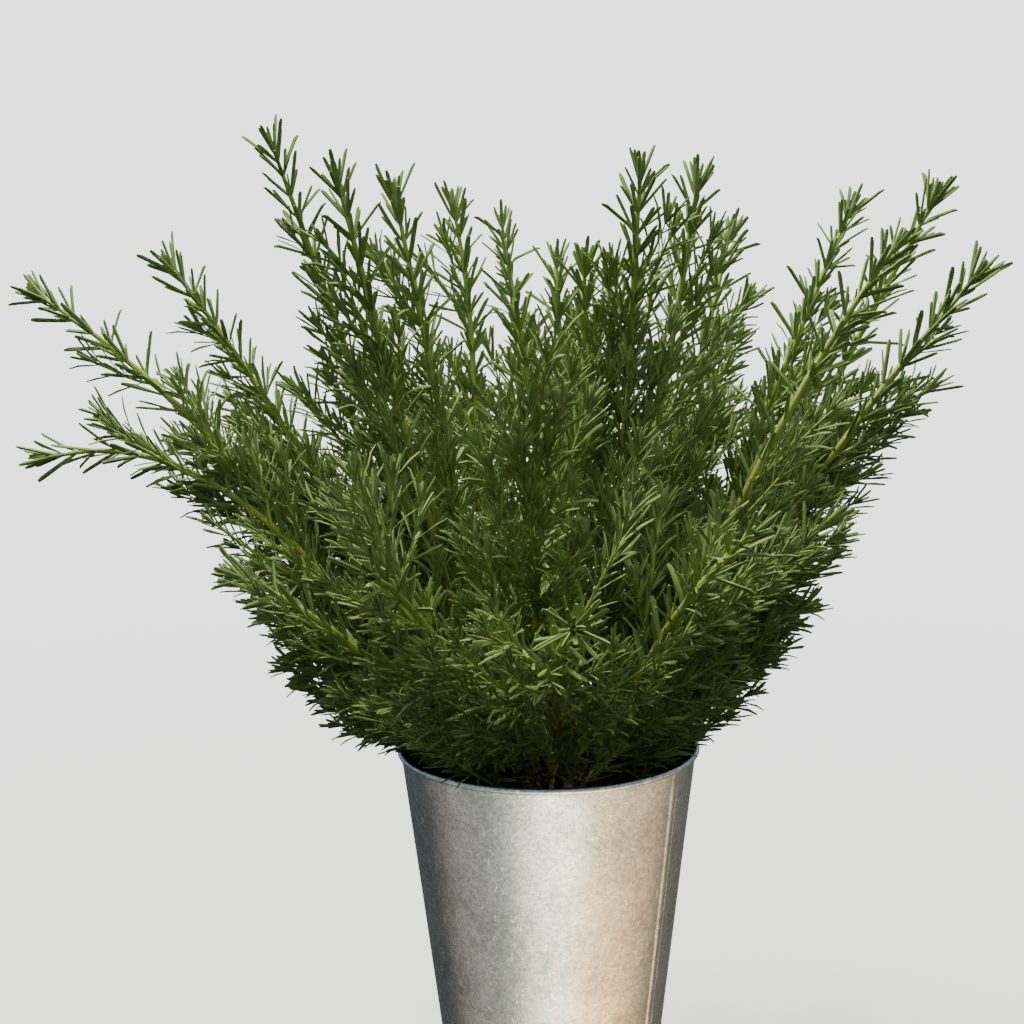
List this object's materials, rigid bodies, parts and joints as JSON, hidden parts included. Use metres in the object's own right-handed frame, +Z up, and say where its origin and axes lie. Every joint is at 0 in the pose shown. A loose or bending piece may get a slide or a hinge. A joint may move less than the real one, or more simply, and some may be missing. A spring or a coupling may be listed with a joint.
{
  "type": "potted rosemary plant",
  "caption": "Rosemary bush with upright and arching leafy shoots, growing in a tall tapered galvanised steel bucket with a rolled rim and a flat base.",
  "frame": {"origin": "middle of the bucket's flat underside", "axes": "+Z up along the bucket's axis, +X to the right and -Y towards the viewer who faces the bucket's folded seam on the right-hand side"},
  "size_m": [0.7401, 0.6223, 0.8239],
  "materials": {
    "galvanised_steel": "hot-dip galvanised sheet, semi-bright with a fine spangle, light scratches",
    "rim_wire_steel": "plain drawn steel wire, hidden in the rolled rim",
    "potting_soil": "crumbly dark peat and bark compost, matt",
    "rosemary_stem": "square young shoots, yellow-green turning brown and woody at the foot, matt",
    "rosemary_leaf": "narrow needle leaves, dark green above with a groove, pale grey-green felt below, satin"
  },
  "bodies": {
    "root": {"bucket_wall": "galvanised_steel", "rim_wire": "rim_wire_steel", "bucket_base": "galvanised_steel", "soil": "potting_soil", "stem_01": "rosemary_stem", "leaves_01": "rosemary_leaf", "stem_02": "rosemary_stem", "leaves_02": "rosemary_leaf", "stem_03": "rosemary_stem", "leaves_03": "rosemary_leaf", "stem_04": "rosemary_stem", "leaves_04": "rosemary_leaf", "stem_05": "rosemary_stem", "leaves_05": "rosemary_leaf", "stem_06": "rosemary_stem", "leaves_06": "rosemary_leaf", "stem_07": "rosemary_stem", "leaves_07": "rosemary_leaf", "stem_08": "rosemary_stem", "leaves_08": "rosemary_leaf", "stem_09": "rosemary_stem", "leaves_09": "rosemary_leaf", "stem_10": "rosemary_stem", "leaves_10": "rosemary_leaf", "stem_11": "rosemary_stem", "leaves_11": "rosemary_leaf", "stem_12": "rosemary_stem", "leaves_12": "rosemary_leaf", "stem_13": "rosemary_stem", "leaves_13": "rosemary_leaf", "stem_14": "rosemary_stem", "leaves_14": "rosemary_leaf", "stem_15": "rosemary_stem", "leaves_15": "rosemary_leaf", "stem_16": "rosemary_stem", "leaves_16": "rosemary_leaf", "stem_17": "rosemary_stem", "leaves_17": "rosemary_leaf", "stem_18": "rosemary_stem", "leaves_18": "rosemary_leaf", "stem_19": "rosemary_stem", "leaves_19": "rosemary_leaf", "stem_20": "rosemary_stem", "leaves_20": "rosemary_leaf", "stem_21": "rosemary_stem", "leaves_21": "rosemary_leaf", "stem_22": "rosemary_stem", "leaves_22": "rosemary_leaf", "stem_23": "rosemary_stem", "leaves_23": "rosemary_leaf", "stem_24": "rosemary_stem", "leaves_24": "rosemary_leaf", "stem_25": "rosemary_stem", "leaves_25": "rosemary_leaf", "stem_26": "rosemary_stem", "leaves_26": "rosemary_leaf", "stem_27": "rosemary_stem", "leaves_27": "rosemary_leaf", "stem_28": "rosemary_stem", "leaves_28": "rosemary_leaf"}
  },
  "joints": []
}
